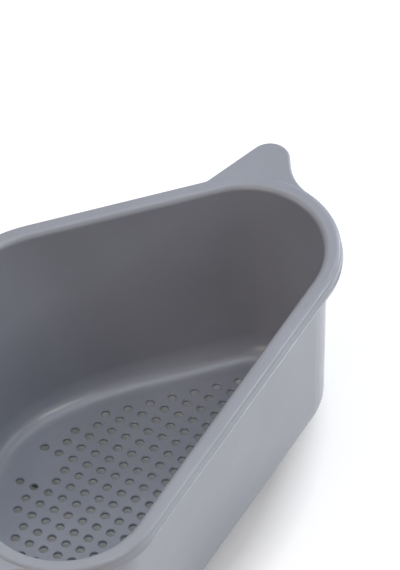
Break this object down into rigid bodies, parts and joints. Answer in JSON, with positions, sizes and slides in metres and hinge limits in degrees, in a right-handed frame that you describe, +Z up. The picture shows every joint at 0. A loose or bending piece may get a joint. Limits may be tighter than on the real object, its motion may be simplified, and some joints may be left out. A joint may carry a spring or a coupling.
{
  "type": "kitchen sink corner caddy",
  "caption": "Three-sided moulded plastic sink caddy with a perforated floor, a turned-down rim, corner grip tabs and suction cups that slide into lugs on its legs.",
  "frame": {"origin": "middle of the caddy's footprint, on the surface that its feet stand on", "axes": "+X along the straight front wall, +Y to the back corner between the legs, +Z up"},
  "size_m": [0.206, 0.1161, 0.0816],
  "materials": {
    "basket_plastic": "satin moulded polypropylene, blue-grey",
    "stud_plastic": "satin moulded plastic, blue-grey",
    "cup_rubber": "smooth soft translucent vinyl"
  },
  "bodies": {
    "basket": {"basket": "basket_plastic"},
    "stud_left": {"cup_stud_left": "stud_plastic"},
    "stud_right": {"cup_stud_right": "stud_plastic"},
    "cup_left": {"suction_cup_left": "cup_rubber"},
    "cup_right": {"suction_cup_right": "cup_rubber"}
  },
  "joints": [
    {"name": "stud_slide_left", "type": "slide", "parent": "basket", "child": "stud_left", "axis": [0, 0, 1], "range_m": [-0.014, 0]},
    {"name": "stud_slide_right", "type": "slide", "parent": "basket", "child": "stud_right", "axis": [0, 0, 1], "range_m": [-0.014, 0]},
    {"name": "cup_spin_left", "type": "hinge", "parent": "stud_left", "child": "cup_left", "pos_m": [-0.05757, 0.02027, 0.042], "axis": [-0.7071, 0.7071, 0], "continuous": true},
    {"name": "cup_spin_right", "type": "hinge", "parent": "stud_right", "child": "cup_right", "pos_m": [0.05757, 0.02027, 0.042], "axis": [0.7071, 0.7071, 0], "continuous": true}
  ]
}
